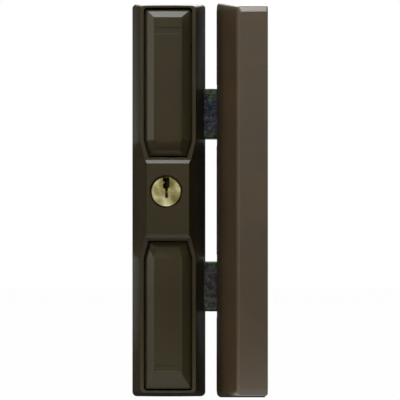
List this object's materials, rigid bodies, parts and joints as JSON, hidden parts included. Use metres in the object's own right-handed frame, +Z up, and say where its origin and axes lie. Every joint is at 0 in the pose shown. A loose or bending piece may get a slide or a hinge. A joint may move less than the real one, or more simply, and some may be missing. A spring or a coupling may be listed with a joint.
{
  "type": "skylight lock",
  "caption": "Key-operated surface lock for a roof window: slim case with two sliding bolts and a deep strike box beside it.",
  "frame": {"origin": "centre of the lock case's back, on the mounting plane", "axes": "+Z up along the case, +X from the case to the strike box, +Y into the window it is screwed to (the front faces -Y)"},
  "size_m": [0.057, 0.044, 0.169],
  "materials": {
    "brown_paint": "satin",
    "brass": "satin",
    "chromated_steel": "mottled",
    "zinc_steel": "satin",
    "spring_steel": "polished"
  },
  "bodies": {
    "lock_case": {"case_housing": "brown_paint", "base_plate": "zinc_steel", "base_plate_screws": "zinc_steel", "carriage_guides": "zinc_steel", "cylinder_body": "brass", "cylinder_screws": "zinc_steel", "pin_chamber_strip": "brass", "driver_pins": "brass", "pin_springs": "spring_steel", "strike_frame": "zinc_steel"},
    "bolt_slide": {"bolt_carriage": "zinc_steel", "carriage_screws": "zinc_steel", "drive_rack": "zinc_steel", "upper_bolt": "chromated_steel", "lower_bolt": "chromated_steel"},
    "key_plug": {"cylinder_plug": "brass", "key_pins": "brass", "retaining_clip": "spring_steel", "drive_pinion": "zinc_steel", "pinion_screw": "zinc_steel"},
    "upper_cover": {"upper_cover": "brown_paint"},
    "lower_cover": {"lower_cover": "brown_paint"},
    "strike_cover": {"strike_cover": "brown_paint"}
  },
  "joints": [
    {"name": "plug_turn", "type": "hinge", "parent": "lock_case", "child": "key_plug", "pos_m": [-0.00075, 0, 0.00305], "axis": [0, -1, 0], "range_deg": [0, 180]},
    {"name": "bolt_throw", "type": "slide", "parent": "lock_case", "child": "bolt_slide", "axis": [-1, 0, 0], "range_m": [0, 0.012]},
    {"name": "upper_cover_lift", "type": "slide", "parent": "lock_case", "child": "upper_cover", "axis": [0, -1, 0], "range_m": [0, 0.012]},
    {"name": "lower_cover_lift", "type": "slide", "parent": "lock_case", "child": "lower_cover", "axis": [0, -1, 0], "range_m": [0, 0.012]},
    {"name": "strike_cover_lift", "type": "slide", "parent": "lock_case", "child": "strike_cover", "axis": [0, -1, 0], "range_m": [0, 0.02]}
  ],
  "couplings": [
    {"joint": "plug_turn", "follows": "bolt_throw", "rad_per_m": 261.8}
  ]
}
